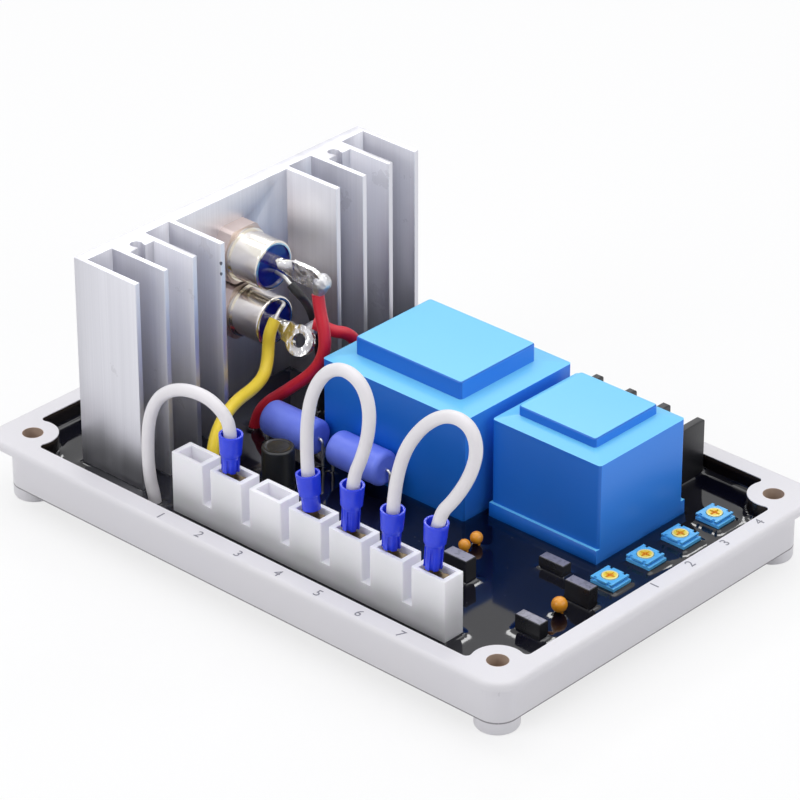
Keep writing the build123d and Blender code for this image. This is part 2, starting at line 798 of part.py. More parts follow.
# Trimmers and the rotors that turn in them
for number, centre in enumerate(trimmer_centres, start=1):
    neck_z = trimmer_top_z - trimmer_plate - trimmer_groove
    recess_z = trimmer_top_z + rotor_proud - rotor_thickness - rotor_gap
    rotor_z = recess_z + rotor_gap
    base_centre = (centre[0] + trimmer_ledge / 2, centre[1])
    with BuildPart() as trimmer:
        with BuildSketch(rest_plane(base_centre, board_top)):
            Rectangle(trimmer_size + trimmer_ledge, trimmer_size)
        extrude(amount=neck_z - board_top)
        with BuildSketch(rest_plane(centre, neck_z)):
            Rectangle(trimmer_size - 2 * trimmer_groove_depth, trimmer_size - 2 * trimmer_groove_depth)
        extrude(amount=trimmer_groove)
        with BuildSketch(rest_plane(centre, neck_z + trimmer_groove)):
            Rectangle(trimmer_size, trimmer_size)
            with GridLocations(trimmer_notch_spacing, trimmer_size - trimmer_notch_depth, 2, 2):
                Rectangle(trimmer_notch_width, trimmer_notch_depth, mode=Mode.SUBTRACT)
        extrude(amount=trimmer_plate)
        with BuildSketch(rest_plane(centre, recess_z)):
            Circle(rotor_radius + rotor_clearance)
        extrude(amount=trimmer_top_z - recess_z, mode=Mode.SUBTRACT)
        with BuildSketch(rest_plane(centre, recess_z)):
            Circle(rotor_pin_radius + rotor_pin_clearance)
        extrude(amount=-rotor_pin_length - rotor_gap, mode=Mode.SUBTRACT)
    save(trimmer, f"trimmer_{number}")

    with BuildPart() as rotor:
        with BuildSketch(rest_plane(centre, rotor_z)):
            Circle(rotor_radius)
        extrude(amount=rotor_thickness)
        with BuildSketch(rest_plane(centre, rotor_z)):
            Circle(rotor_pin_radius)
        extrude(amount=-rotor_pin_length)
        with BuildSketch(rest_plane(centre, rotor_z + rotor_thickness)):
            Rectangle(rotor_slot_length, rotor_slot_width)
            Rectangle(rotor_slot_width, rotor_slot_length)
        extrude(amount=-rotor_slot_depth, mode=Mode.SUBTRACT)
    save(rotor, f"trimmer_rotor_{number}")

# Film capacitors: black boxes of several sizes
for number, (centre, size, top_z) in enumerate(film_capacitors, start=1):
    with BuildPart() as film_capacitor:
        with BuildSketch(rest_plane(centre, board_top)):
            Rectangle(*size)
        extrude(amount=top_z - board_top)
        fillet(film_capacitor.faces().sort_by(Axis.Z)[-1].edges(), film_edge)
    save(film_capacitor, f"film_capacitor_{number}")
    cast_in.append(film_capacitor)

# Bead capacitors: a dipped bead on two legs
for number, (centre, radius) in enumerate(bead_capacitors, start=1):
    bead_z = resin_z + bead_clear + radius
    with BuildPart() as bead:
        with BuildSketch(rest_plane(centre, board_top)):
            with GridLocations(bead_leg_spacing, 0, 2, 1):
                Circle(bead_leg_radius)
        extrude(amount=bead_z - board_top)
        with Locations((centre[0], centre[1], bead_z)):
            Sphere(radius)
    save(bead, f"bead_capacitor_{number}")
    cast_in.append(bead)

# Two lying capacitors in front of the large transformer, and their leads
lead_sites = []
for number, centre_x in enumerate(axial_centres_x, start=1):
    with BuildPart() as axial:
        with BuildSketch(Plane.YZ.offset(centre_x)):
            with Locations((axial_y, axial_z)):
                Circle(axial_radius)
        extrude(amount=axial_length / 2, both=True)
        fillet(axial.edges().filter_by(GeomType.CIRCLE), axial_edge_round)
    save(axial, f"axial_capacitor_{number}")
    lead_sites += [(centre_x + side * axial_length / 2, side) for side in (-1, 1)]

with BuildPart() as axial_leads:
    for end_x, side in lead_sites:
        out_x = end_x + side * axial_lead_reach
        with BuildLine() as lead_line:
            FilletPolyline(
                (end_x, axial_y, axial_z), (out_x, axial_y, axial_z), (out_x, axial_y, board_top),
                radius=axial_lead_bend,
            )
        with BuildSketch(Plane(origin=(end_x, axial_y, axial_z), z_dir=(side, 0, 0))):
            Circle(axial_lead_radius)
        sweep(path=lead_line.wire())
save(axial_leads, "axial_leads")
cast_in.append(axial_leads)

# Upright capacitor with a crimped groove near its foot
with BuildPart() as can_capacitor:
    with BuildSketch(rest_plane(can_capacitor_centre, board_top)):
        Circle(can_capacitor_radius)
    extrude(amount=can_capacitor_top_z - board_top)
    fillet(can_capacitor.faces().sort_by(Axis.Z)[-1].edges(), can_capacitor_edge)
    with BuildSketch(rest_plane(can_capacitor_centre, can_capacitor_groove_z)):
        Circle(can_capacitor_radius)
        Circle(can_capacitor_radius - can_capacitor_groove, mode=Mode.SUBTRACT)
    extrude(amount=2 * can_capacitor_groove, mode=Mode.SUBTRACT)
save(can_capacitor, "can_capacitor")
cast_in.append(can_capacitor)

# Black heat sink: a web with four fins towards the +Y wall
with BuildPart() as rear_heat_sink:
    rear_length = (rear_sink_fins - 1) * rear_sink_pitch + rear_fin_thickness
    with BuildSketch(Plane.XY.offset(board_top)):
        with Locations((rear_sink_x + rear_length / 2, rear_sink_y + rear_sink_web / 2)):
            Rectangle(rear_length, rear_sink_web)
        for fin in range(rear_sink_fins):
            fin_x = rear_sink_x + rear_fin_thickness / 2 + fin * rear_sink_pitch
            with Locations((fin_x, rear_sink_y + rear_sink_depth / 2)):
                Rectangle(rear_fin_thickness, rear_sink_depth)
    extrude(amount=rear_sink_top_z - board_top)
    outer_edges = rear_heat_sink.edges().filter_by(Axis.X).group_by(Axis.Z)[-1].group_by(Axis.Y)[-1]
    fillet(outer_edges, rear_fin_edge)
save(rear_heat_sink, "rear_heat_sink")
cast_in.append(rear_heat_sink)

# Resin: fills the well to its level, around the posts and all that stands in it
with BuildPart() as potting_resin:
    with BuildSketch(Plane.XY.offset(floor_z)) as fill:
        Rectangle(well_length, well_width)
        with Locations(*corners):
            Circle(boss_radius, mode=Mode.SUBTRACT)
        fillet(fill.vertices(), boss_blend)
    extrude(amount=resin_z - floor_z)
    with BuildSketch(Plane.XY.offset(floor_z)):
        with GridLocations(post_spacing_x, post_spacing_y, 3, 2):
            Circle(post_diameter / 2)
    extrude(amount=board_lift, mode=Mode.SUBTRACT)
    with BuildSketch(Plane.XY.offset(board_top)):
        with Locations(*[(x + trimmer_ledge / 2, y) for x, y in trimmer_centres]):
            Rectangle(trimmer_size + trimmer_ledge, trimmer_size)
    extrude(amount=resin_z - board_top, mode=Mode.SUBTRACT)
    for piece in cast_in:
        add(piece.part, mode=Mode.SUBTRACT)
save(potting_resin, "potting_resin")
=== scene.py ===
from math import ceil, cos, exp, radians, sin

import bmesh
import bpy
from mathutils import Matrix, Vector, kdtree, noise


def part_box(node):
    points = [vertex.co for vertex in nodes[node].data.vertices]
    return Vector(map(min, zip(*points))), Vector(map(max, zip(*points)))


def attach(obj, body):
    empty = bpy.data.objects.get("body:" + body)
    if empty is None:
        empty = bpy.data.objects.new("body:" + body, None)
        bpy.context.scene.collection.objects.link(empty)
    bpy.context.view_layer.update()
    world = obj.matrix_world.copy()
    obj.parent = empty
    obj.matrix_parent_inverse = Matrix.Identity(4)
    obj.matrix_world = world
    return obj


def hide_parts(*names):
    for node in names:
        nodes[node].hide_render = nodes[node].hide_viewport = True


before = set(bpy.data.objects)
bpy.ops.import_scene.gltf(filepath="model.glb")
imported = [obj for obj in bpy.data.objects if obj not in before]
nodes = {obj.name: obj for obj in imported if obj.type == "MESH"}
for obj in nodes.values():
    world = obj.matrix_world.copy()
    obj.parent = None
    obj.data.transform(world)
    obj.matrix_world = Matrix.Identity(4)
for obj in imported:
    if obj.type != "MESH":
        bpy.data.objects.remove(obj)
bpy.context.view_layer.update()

mm = 0.001
fixedBody = "regulator"

# Levels and places read from the frame
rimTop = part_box("tray")[1].z
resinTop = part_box("potting_resin")[1].z
trimmerNames = [f"trimmer_{number}" for number in range(1, 5)]
rotorNames = [f"trimmer_rotor_{number}" for number in range(1, 5)]
sleeveNames = [f"connector_sleeve_{number}" for number in (2, 4, 5, 6, 7)]
receptacleNames = [f"receptacle_{number}" for number in (2, 4, 5, 6, 7)]
filmNames = [f"film_capacitor_{number}" for number in range(1, 5)]
beadNames = [f"bead_capacitor_{number}" for number in range(1, 4)]


# Selecting and editing

def deselectAll():
    if bpy.context.object and bpy.context.object.mode != "OBJECT":
        bpy.ops.object.mode_set(mode="OBJECT")
    bpy.ops.object.select_all(action="DESELECT")


def makeActive(piece):
    deselectAll()
    piece.select_set(True)
    bpy.context.view_layer.objects.active = piece


def startEdit(piece, pickKind="FACE"):
    makeActive(piece)
    bpy.ops.object.mode_set(mode="EDIT")
    bpy.ops.mesh.select_mode(type=pickKind)
    bpy.ops.mesh.select_all(action="DESELECT")


def pickFaces(piece, wanted):
    # wanted is called with each face's centre and normal
    shape = bmesh.from_edit_mesh(piece.data)
    for face in shape.faces:
        face.select_set(wanted(face.calc_center_median(), face.normal))
    bmesh.update_edit_mesh(piece.data)


def endEdit():
    bpy.ops.object.mode_set(mode="OBJECT")
    deselectAll()


def applyPlace(piece):
    makeActive(piece)
    bpy.ops.object.transform_apply(location=True, rotation=True, scale=True)
    deselectAll()


def addModifier(piece, kind, **settings):
    made = piece.modifiers.new(kind.title(), kind)
    for name, value in settings.items():
        setattr(made, name, value)
    return made


def finishPiece(piece, name, finish, body=fixedBody, smoothAngle=35):
    applyPlace(piece)
    makeActive(piece)
    bpy.ops.object.shade_smooth_by_angle(angle=radians(smoothAngle))
    deselectAll()
    piece.name = name
    piece.data.materials.clear()
    piece.data.materials.append(finish)
    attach(piece, body)
    return piece


def dress(nodeName, finish):
    piece = nodes[nodeName]
    piece.data.materials.clear()
    piece.data.materials.append(finish)


softening = {"weld": 0.002 * mm, "segments": 2, "edgeAngle": 40, "smoothAngle": 32}


def softenEdges(nodeName, width):
    # A small live bevel, so that moulded and cut edges catch the light
    piece = nodes[nodeName]
    addModifier(piece, "WELD", merge_threshold=softening["weld"])
    addModifier(piece, "BEVEL", width=width, segments=softening["segments"],
                angle_limit=radians(softening["edgeAngle"]), use_clamp_overlap=True, harden_normals=False)
    makeActive(piece)
    bpy.ops.object.shade_smooth_by_angle(angle=radians(softening["smoothAngle"]))
    deselectAll()


# Materials

class Signal:
    # One socket of a material's node tree: sums and products of signals add Math nodes
    def __init__(self, tree, socket=None):
        self.tree = tree
        self.socket = socket

    def node(self, kind, settings=None, sockets=None, out=0):
        # settings are set first, then the values or links of the sockets
        made = self.tree.nodes.new("ShaderNode" + kind)
        for name, value in (settings or {}).items():
            if name == "stops":
                ramp = made.color_ramp
                for place, colour in value[1:-1]:
                    ramp.elements.new(place).color = colour
                for element, (place, colour) in zip(ramp.elements, value):
                    element.position = place
                    element.color = colour
            else:
                setattr(made, name, value)
        for name, value in (sockets or {}).items():
            if isinstance(name, int):
                target = made.inputs[name]
            else:
                target = next(s for s in made.inputs if name in (s.identifier, s.name))
            if isinstance(value, Signal):
                self.tree.links.new(value.socket, target)
            else:
                target.default_value = value
        if not made.outputs:
            return None
        if isinstance(out, int):
            return Signal(self.tree, made.outputs[out])
        return Signal(self.tree, next(s for s in made.outputs if out in (s.identifier, s.name)))

    def math(self, operation, *values):
        return self.node("Math", {"operation": operation}, dict(enumerate(values)))

    def __add__(self, other):
        return self.math("ADD", self, other)

    __radd__ = __add__

    def __sub__(self, other):
        return self.math("SUBTRACT", self, other)

    def __rsub__(self, other):
        return self.math("SUBTRACT", other, self)

    def __mul__(self, other):
        return self.math("MULTIPLY", self, other)

    __rmul__ = __mul__

    def __truediv__(self, other):
        return self.math("DIVIDE", self, other)

    def __abs__(self):
        return self.math("ABSOLUTE", self)

    def __lt__(self, other):
        return self.math("LESS_THAN", self, other)

    def __gt__(self, other):
        return self.math("GREATER_THAN", self, other)

    def clamped(self, low=0.0, high=1.0):
        return self.math("MINIMUM", self.math("MAXIMUM", self, low), high)

    def blend(self, first, second):
        # From the first colour to the second as this signal goes from 0 to 1
        return self.node("Mix", {"data_type": "RGBA"},
                         {"Factor_Float": self, "A_Color": first, "B_Color": second}, "Result_Color")


def rgb(red, green, blue):
    return (red, green, blue, 1.0)


def noiseOf(place, scale, detail=3.0, roughness=0.5, stretch=(1, 1, 1)):
    moved = place.node("Mapping", None, {"Vector": place, "Scale": stretch})
    return moved.node("TexNoise", None, {"Vector": moved, "Scale": scale, "Detail": detail,
                                         "Roughness": roughness}, "Fac")


def spotsOf(place, scale):
    return place.node("TexVoronoi", None, {"Vector": place, "Scale": scale}, "Distance")


def startMaterial(name):
    made = bpy.data.materials.new(name)
    made.use_nodes = True
    made.node_tree.nodes.clear()
    signal = Signal(made.node_tree)
    place = signal.node("TexCoord", None, None, "Object")
    return made, place


def endMaterial(made, place, base, roughness, height=None, bump=0.1, reach=0.2 * mm, **fixed):
    sockets = {"Base Color": base, "Roughness": roughness}
    if height is not None:
        sockets["Normal"] = place.node("Bump", None, {"Strength": bump, "Distance": reach, "Height": height})
    sockets.update(fixed)
    shader = place.node("BsdfPrincipled", None, sockets)
    place.node("OutputMaterial", None, {"Surface": shader})
    return made


def part(place, axis):
    return place.node("SeparateXYZ", None, {"Vector": place}, axis)


def facing(place, axis):
    # 1 where the surface looks along the axis
    return part(place.node("NewGeometry", None, None, "Normal"), axis) > 0.9


def trayPlastic():
    look = {
        "plastic": (rgb(0.70, 0.69, 0.735), rgb(0.74, 0.725, 0.745)),
        "hole": rgb(0.52, 0.40, 0.32), "holeAt": (75, 49), "holeRadius": 2.62,  # in each corner, mm
        "film": (rgb(0.006, 0.004, 0.004), rgb(0.05, 0.035, 0.025)),  # near-black on the well's inner walls, lighter towards the rim
        "well": (78.75, 52.75), "darkWallFrom": 1.6, "filmTo": 0.35, "darkWallFade": 1.4,
        # painted shadow: a dark band low on the outer walls, standing for the shade along the tray's bottom edge
        "seam": rgb(0.10, 0.09, 0.10), "paintedShadowFrom": 3.25, "paintedShadowTo": 3.62,
    }
    made, place = startMaterial("trayPlastic")
    cloud = noiseOf(place, 45, 4)
    grain = noiseOf(place, 2600, 2)
    across, deep, height = abs(part(place, "X")), abs(part(place, "Y")), part(place, "Z")
    x, y = across - look["holeAt"][0] * mm, deep - look["holeAt"][1] * mm
    inHole = (x * x + y * y) < (look["holeRadius"] * mm) ** 2
    inWell = (across < look["well"][0] * mm) * (deep < look["well"][1] * mm) * (1 - inHole)
    darkWallTop = rimTop - look["filmTo"] * mm + 0.3 * mm * noiseOf(place, 260, 2)
    film = inWell * (height > resinTop - look["darkWallFrom"] * mm) * (height < darkWallTop)
    towardRim = ((height - (rimTop - look["darkWallFrom"] * mm)) / (look["darkWallFade"] * mm)).clamped()
    # painted shadow band, on the outer walls only, outside the well
    seam = (height < look["paintedShadowTo"] * mm) * (height > look["paintedShadowFrom"] * mm) * (1 - inWell)
    colour = inHole.blend(cloud.blend(*look["plastic"]), look["hole"])
    colour = film.blend((0.75 * seam).blend(colour, look["seam"]), towardRim.blend(*look["film"]))
    return endMaterial(made, place, colour, 0.38 + 0.12 * cloud - 0.22 * film, grain + 2 * cloud, 0.08, 0.1 * mm)


def resinGloss():
    look = {"resin": (rgb(0.0015, 0.0018, 0.005), rgb(0.003, 0.003, 0.009)), "dust": rgb(0.20, 0.20, 0.22)}
    made, place = startMaterial("resinGloss")
    cloud = noiseOf(place, 30, 3)
    swell = noiseOf(place, 55, 1.5)
    speck = (spotsOf(place, 420) < 0.05) * (noiseOf(place, 60, 2) > 0.58)
    colour = (0.4 * speck).blend(cloud.blend(*look["resin"]), look["dust"])
    return endMaterial(made, place, colour, 0.03 + 0.06 * cloud, swell, 0.10, 0.9 * mm)


def extrudedAluminium():
    look = {
        "metal": (rgb(0.58, 0.58, 0.63), rgb(0.80, 0.80, 0.85)), "scuff": rgb(0.50, 0.49, 0.52),
        "drawn": (2400, 2400, 9), "broad": (260, 260, 12),  # streaks along the fins' height
        "pit": rgb(0.05, 0.05, 0.07), "pits": [((-41.3, -16.95, 62.2), 0.5), ((-41.3, -16.95, 59.4), 0.45)],  # mm
    }
    made, place = startMaterial("extrudedAluminium")
    lines = noiseOf(place, 1.0, 4, 0.6, look["drawn"])
    broad = noiseOf(place, 1.0, 3, 0.5, look["broad"])
    marks = noiseOf(place, 90, 5, 0.6) > 0.66
    tone = (0.55 * lines + 0.45 * broad).clamped()
    colour = (0.25 * marks).blend(tone.blend(*look["metal"]), look["scuff"])
    for centre, radius in look["pits"]:
        away = place.node("VectorMath", {"operation": "DISTANCE"}, {0: place, 1: tuple(Vector(centre) * mm)}, "Value")
        colour = (0.85 * (away < radius * mm)).blend(colour, look["pit"])
    return endMaterial(made, place, colour, 0.38 + 0.18 * broad + 0.08 * marks, lines + broad, 0.22, 0.12 * mm,
                       Metallic=1.0)


def nickelPlate():
    look = {
        "can": (rgb(0.78, 0.74, 0.66), rgb(0.88, 0.85, 0.80)),
        "hexagon": (rgb(0.62, 0.50, 0.46), rgb(0.76, 0.66, 0.61)),
        "groove": rgb(0.12, 0.10, 0.10), "grooveTurns": 20000,
        "hexagonX": (-58.05, -53.75), "collarX": (-53.75, -52.9),  # mm
    }
    made, place = startMaterial("nickelPlate")
    cloud = noiseOf(place, 260, 4)
    fine = noiseOf(place, 1900, 3)
    x = part(place, "X")
    onHexagon, onCollar = ((x > low * mm) * (x < high * mm) for low, high in (look["hexagonX"], look["collarX"]))
    groove = onCollar * (x.math("SINE", x * look["grooveTurns"]) > 0.2)
    plate = onHexagon.blend(cloud.blend(*look["can"]), cloud.blend(*look["hexagon"]))
    colour = (0.7 * groove).blend(plate, look["groove"])
    return endMaterial(made, place, colour, 0.13 + 0.10 * cloud + 0.20 * onHexagon,
                       cloud + 0.4 * fine, 0.16, 0.15 * mm, Metallic=1.0)


def lugPlate():
    look = {"tin": (rgb(0.76, 0.75, 0.73), rgb(0.94, 0.93, 0.91))}
    made, place = startMaterial("lugPlate")
    dents = noiseOf(place, 300, 2)
    cloud = noiseOf(place, 700, 4)
    return endMaterial(made, place, cloud.blend(*look["tin"]), 0.12 + 0.14 * cloud, dents + 0.25 * cloud, 0.7,
                       0.9 * mm, Metallic=0.95)


def sealGlass():
    look = {"glass": (rgb(0.004, 0.006, 0.13), rgb(0.010, 0.014, 0.26)), "coat": 0.6}
    made, place = startMaterial("sealGlass")
    cloud = noiseOf(place, 500, 3)
    return endMaterial(made, place, cloud.blend(*look["glass"]), 0.10 + 0.08 * cloud, cloud, 0.10, 0.1 * mm,
                       **{"Coat Weight": look["coat"]})


def solderGrey():
    look = {"solder": (rgb(0.36, 0.36, 0.38), rgb(0.70, 0.70, 0.72))}
    made, place = startMaterial("solderGrey")
    cloud = noiseOf(place, 650, 5, 0.6)
    pits = spotsOf(place, 1100)
    return endMaterial(made, place, cloud.blend(*look["solder"]), 0.30 + 0.30 * cloud, cloud + 0.5 * pits, 0.7,
                       0.3 * mm, Metallic=0.9)


def caseBlue():
    look = {
        # lit and shaded copies of one blue: painted shade on the sides, painted light on the +X ends and on the tops
        "side": (rgb(0.006, 0.140, 0.60), rgb(0.010, 0.160, 0.66)),
        "end": (rgb(0.030, 0.240, 0.84), rgb(0.040, 0.260, 0.90)),
        "top": (rgb(0.140, 0.56, 0.92), rgb(0.160, 0.60, 0.95)),
    }
    made, place = startMaterial("caseBlue")
    cloud = noiseOf(place, 28, 3)
    grain = noiseOf(place, 1500, 2)
    # painted light: faces looking along +X get the lighter end blue, upward faces the lighter top blue
    paintedLightSides = facing(place, "X").blend(cloud.blend(*look["side"]), cloud.blend(*look["end"]))
    colour = facing(place, "Z").blend(paintedLightSides, cloud.blend(*look["top"]))
    return endMaterial(made, place, colour, 0.30 + 0.10 * cloud, grain + cloud, 0.06, 0.1 * mm)


def nylonWhite():
    look = {"nylon": (rgb(0.86, 0.85, 0.92), rgb(0.91, 0.90, 0.95)), "depth": 2.0}
    made, place = startMaterial("nylonWhite")
    cloud = noiseOf(place, 120, 3)
    grain = noiseOf(place, 1800, 2)
    return endMaterial(made, place, cloud.blend(*look["nylon"]), 0.34 + 0.12 * cloud, grain + cloud, 0.10,
                       0.12 * mm, **{"Subsurface Weight": 0.6, "Subsurface Radius": (1.0, 0.9, 1.0),
                                     "Subsurface Scale": look["depth"] * mm})


def sleeveVinyl():
    look = {"vinyl": (rgb(0.010, 0.030, 0.68), rgb(0.026, 0.070, 0.90)), "depth": 0.7}
    made, place = startMaterial("sleeveVinyl")
    cloud = noiseOf(place, 350, 3)
    return endMaterial(made, place, cloud.blend(*look["vinyl"]), 0.20 + 0.10 * cloud, cloud, 0.06, 0.2 * mm,
                       **{"Subsurface Weight": 0.15, "Subsurface Radius": (0.3, 0.5, 1.0),
                          "Subsurface Scale": look["depth"] * mm})


def insulation(name, dark, light, gloss=0.34):
    made, place = startMaterial(name)
    cloud = noiseOf(place, 190, 4)
    grain = noiseOf(place, 2400, 2)
    return endMaterial(made, place, cloud.blend(dark, light), gloss + 0.12 * cloud, grain + 2 * cloud, 0.12,
                       0.12 * mm, **{"Sheen Weight": 0.1})


def mouldedPlastic(name, dark, light, gloss=0.30, bump=0.10):
    made, place = startMaterial(name)
    cloud = noiseOf(place, 240, 3)
    grain = noiseOf(place, 1700, 3)
    return endMaterial(made, place, cloud.blend(dark, light), gloss + 0.12 * cloud, grain + cloud, bump, 0.12 * mm)


def rotorPlastic():
    # The four rotors stand in a row, a pitch apart: the row is folded onto one of them
    look = {
        "row": (67.3, -1.5), "pitch": 12.7,  # mm
        "yellow": (rgb(0.88, 0.66, 0.03), rgb(0.96, 0.78, 0.07)),
        "middle": rgb(0.85, 0.36, 0.02), "middleRadius": 0.75, "middleFade": 0.35,
        "ring": rgb(0.92, 0.90, 0.62), "ringRadius": 1.45, "ringFade": 0.2,
    }
    made, place = startMaterial("rotorYellow")
    cloud = noiseOf(place, 240, 3)
    x, y = part(place, "X") - look["row"][0] * mm, part(place, "Y") - look["row"][1] * mm
    y = y.math("WRAP", y, look["pitch"] / 2 * mm, -look["pitch"] / 2 * mm)
    away = x.math("SQRT", x * x + y * y)
    middle = 1 - ((away - look["middleRadius"] * mm) / (look["middleFade"] * mm)).clamped()
    ring = ((away - look["ringRadius"] * mm) / (look["ringFade"] * mm)).clamped()
    colour = (0.85 * middle).blend((0.55 * ring).blend(cloud.blend(*look["yellow"]), look["ring"]), look["middle"])
    return endMaterial(made, place, colour, 0.30 + 0.12 * cloud, cloud, 0.10, 0.12 * mm)


def dippedEpoxy(name, dark, light, gloss=0.2, bump=0.3, size=420):
    made, place = startMaterial(name)
    cloud = noiseOf(place, size, 4)
    fine = noiseOf(place, 4 * size, 3)
    return endMaterial(made, place, cloud.blend(dark, light), gloss + 0.15 * cloud, cloud + 0.3 * fine, bump,
                       0.25 * mm)


def boxBlack():
    look = {
        # painted highlight: the upward faces are a lighter grey than the black sides, standing for light falling on
        # the tops; the specks are marks on them
        "lid": (rgb(0.18, 0.18, 0.23), rgb(0.27, 0.26, 0.34)), "speck": rgb(0.10, 0.10, 0.12),
        "side": (rgb(0.014, 0.014, 0.017), rgb(0.026, 0.026, 0.030)),
    }
    made, place = startMaterial("boxBlack")
    cloud = noiseOf(place, 200, 3)
    grain = noiseOf(place, 1500, 3)
    speck = noiseOf(place, 900, 2) > 0.58
    # painted highlight grey of the tops, with darker specks
    lid = (0.5 * speck).blend(cloud.blend(*look["lid"]), look["speck"])
    colour = facing(place, "Z").blend(cloud.blend(*look["side"]), lid)
    return endMaterial(made, place, colour, 0.22 + 0.15 * cloud, grain + cloud, 0.18, 0.12 * mm)


def plainMetal(name, dark, light, gloss=0.25):
    made, place = startMaterial(name)
    cloud = noiseOf(place, 320, 4)
    fine = noiseOf(place, 2200, 3)
    return endMaterial(made, place, cloud.blend(dark, light), gloss + 0.18 * cloud, cloud + fine, 0.15, 0.1 * mm,
                       Metallic=1.0)


def printedInk():
    look = {"ink": (rgb(0.10, 0.10, 0.13), rgb(0.32, 0.32, 0.36))}
    made, place = startMaterial("printedInk")
    cloud = noiseOf(place, 1500, 4)
    return endMaterial(made, place, cloud.blend(*look["ink"]), 0.5 + 0.2 * cloud, cloud, 0.1, 0.05 * mm)


trayFinish = trayPlastic()
resinFinish = resinGloss()
aluminiumFinish = extrudedAluminium()
nickelFinish = nickelPlate()
lugFinish = lugPlate()
glassFinish = sealGlass()
solderFinish = solderGrey()
caseFinish = caseBlue()
nylonFinish = nylonWhite()
sleeveFinish = sleeveVinyl()
whiteWireFinish = insulation("wireWhite", rgb(0.78, 0.75, 0.79), rgb(0.87, 0.85, 0.87))
yellowWireFinish = insulation("wireYellow", rgb(0.86, 0.62, 0.02), rgb(0.93, 0.72, 0.05))
redWireFinish = insulation("wireRed", rgb(0.60, 0.004, 0.020), rgb(0.74, 0.010, 0.040))
blackWireFinish = insulation("wireBlack", rgb(0.008, 0.008, 0.010), rgb(0.016, 0.016, 0.020))
trimmerFinish = mouldedPlastic("trimmerBlue", rgb(0.09, 0.46, 0.92), rgb(0.15, 0.56, 0.98))
rotorFinish = rotorPlastic()
slotFinish = mouldedPlastic("slotOrange", rgb(0.62, 0.16, 0.01), rgb(0.78, 0.24, 0.02))
blueEpoxy = dippedEpoxy("epoxyBlue", rgb(0.12, 0.18, 0.85), rgb(0.20, 0.28, 0.96), 0.34, 0.10, 260)
orangeEpoxy = dippedEpoxy("epoxyOrange", rgb(0.70, 0.22, 0.01), rgb(0.92, 0.42, 0.03), 0.16, 0.25, 600)
boxFinish = boxBlack()
canFinish = mouldedPlastic("canSleeve", rgb(0.006, 0.007, 0.008), rgb(0.014, 0.015, 0.017), 0.3, 0.12)
tinFinish = plainMetal("tinPlate", rgb(0.56, 0.55, 0.53), rgb(0.74, 0.73, 0.71))
# painted shade: the receptacles' metal is coloured near-black, standing for the shade inside the housing's pockets
terminalFinish = plainMetal("terminalPaintedShade", rgb(0.07, 0.05, 0.03), rgb(0.22, 0.17, 0.10), 0.30)
lidFinish = mouldedPlastic("lidBlack", rgb(0.006, 0.006, 0.008), rgb(0.020, 0.020, 0.024), 0.12, 0.1)
zincFinish = plainMetal("zincPlate", rgb(0.58, 0.57, 0.55), rgb(0.76, 0.75, 0.72), 0.30)
anodisedFinish = mouldedPlastic("blackAnodised", rgb(0.007, 0.007, 0.009), rgb(0.014, 0.014, 0.018), 0.34, 0.2)
boardFinish = mouldedPlastic("boardLaminate", rgb(0.01, 0.09, 0.03), rgb(0.02, 0.13, 0.05), 0.35)
inkFinish = printedInk()
print("materials made")


# Carried-over parts

finishOf = {
    "tray": trayFinish,
    "circuit_board": boardFinish,
    "heat_sink": aluminiumFinish,
    "sink_screws": zincFinish,
    "stud_washers": zincFinish,
    "stud_nuts": zincFinish,
    "large_transformer": caseFinish,
    "small_transformer": caseFinish,
    "terminal_tabs": tinFinish,
    "terminal_housing": nylonFinish,
    "axial_leads": tinFinish,
    "can_capacitor": canFinish,
    "rear_heat_sink": anodisedFinish,
}
for level in ("upper", "lower"):
    finishOf[f"{level}_thyristor_case"] = nickelFinish
    finishOf[f"{level}_glass_seal"] = glassFinish
    finishOf[f"{level}_cathode_lug"] = lugFinish
    finishOf[f"{level}_gate_pin"] = tinFinish
finishOf.update(dict.fromkeys(sleeveNames, sleeveFinish))
finishOf.update(dict.fromkeys(receptacleNames, terminalFinish))
finishOf.update(dict.fromkeys(trimmerNames, trimmerFinish))
finishOf.update(dict.fromkeys(rotorNames, rotorFinish))
finishOf.update(dict.fromkeys(filmNames, boxFinish))
finishOf.update(dict.fromkeys(beadNames, orangeEpoxy))
finishOf.update(dict.fromkeys(["axial_capacitor_1", "axial_capacitor_2"], blueEpoxy))
for nodeName, finish in finishOf.items():
    dress(nodeName, finish)

bevels = {
    "heat_sink": 0.18 * mm,
    "large_transformer": 0.25 * mm,
    "small_transformer": 0.25 * mm,
    "terminal_housing": 0.24 * mm,
    "terminal_tabs": 0.08 * mm,
    "rear_heat_sink": 0.15 * mm,
    "stud_nuts": 0.2 * mm,
    "stud_washers": 0.1 * mm,
}
bevels.update(dict.fromkeys(trimmerNames, 0.08 * mm))
bevels.update(dict.fromkeys(rotorNames, 0.06 * mm))
bevels.update(dict.fromkeys(sleeveNames, 0.08 * mm))
for nodeName, width in bevels.items():
    softenEdges(nodeName, width)
print("carried-over parts dressed")


# Resin: a wavy pour that creeps up the walls and small bodies and sinks at the transformers

resin = {
    "level": -0.5,    # the open surface, from the solid's flat top, in mm
    "cell": 0.6,
    "swell": 0.05,
    "creep": {"transformer": (-0.75, 1.5), "wall": (1.2, 0.8), "body": (0.55, 0.85)},  # rise, reach in mm
    "corner": (75, 49), "cornerRadius": 8.5,  # the bosses' edges count as wall, mm
    "rimStep": 0.15,
    "snap": 0.01,
}
pourBoxes = {name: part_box(name) for name in ("large_transformer", "small_transformer", "potting_resin")}


def nearBox(place, name, margin):
    low, high = pourBoxes[name]
    return low.x - margin < place.x < high.x + margin and low.y - margin < place.y < high.y + margin


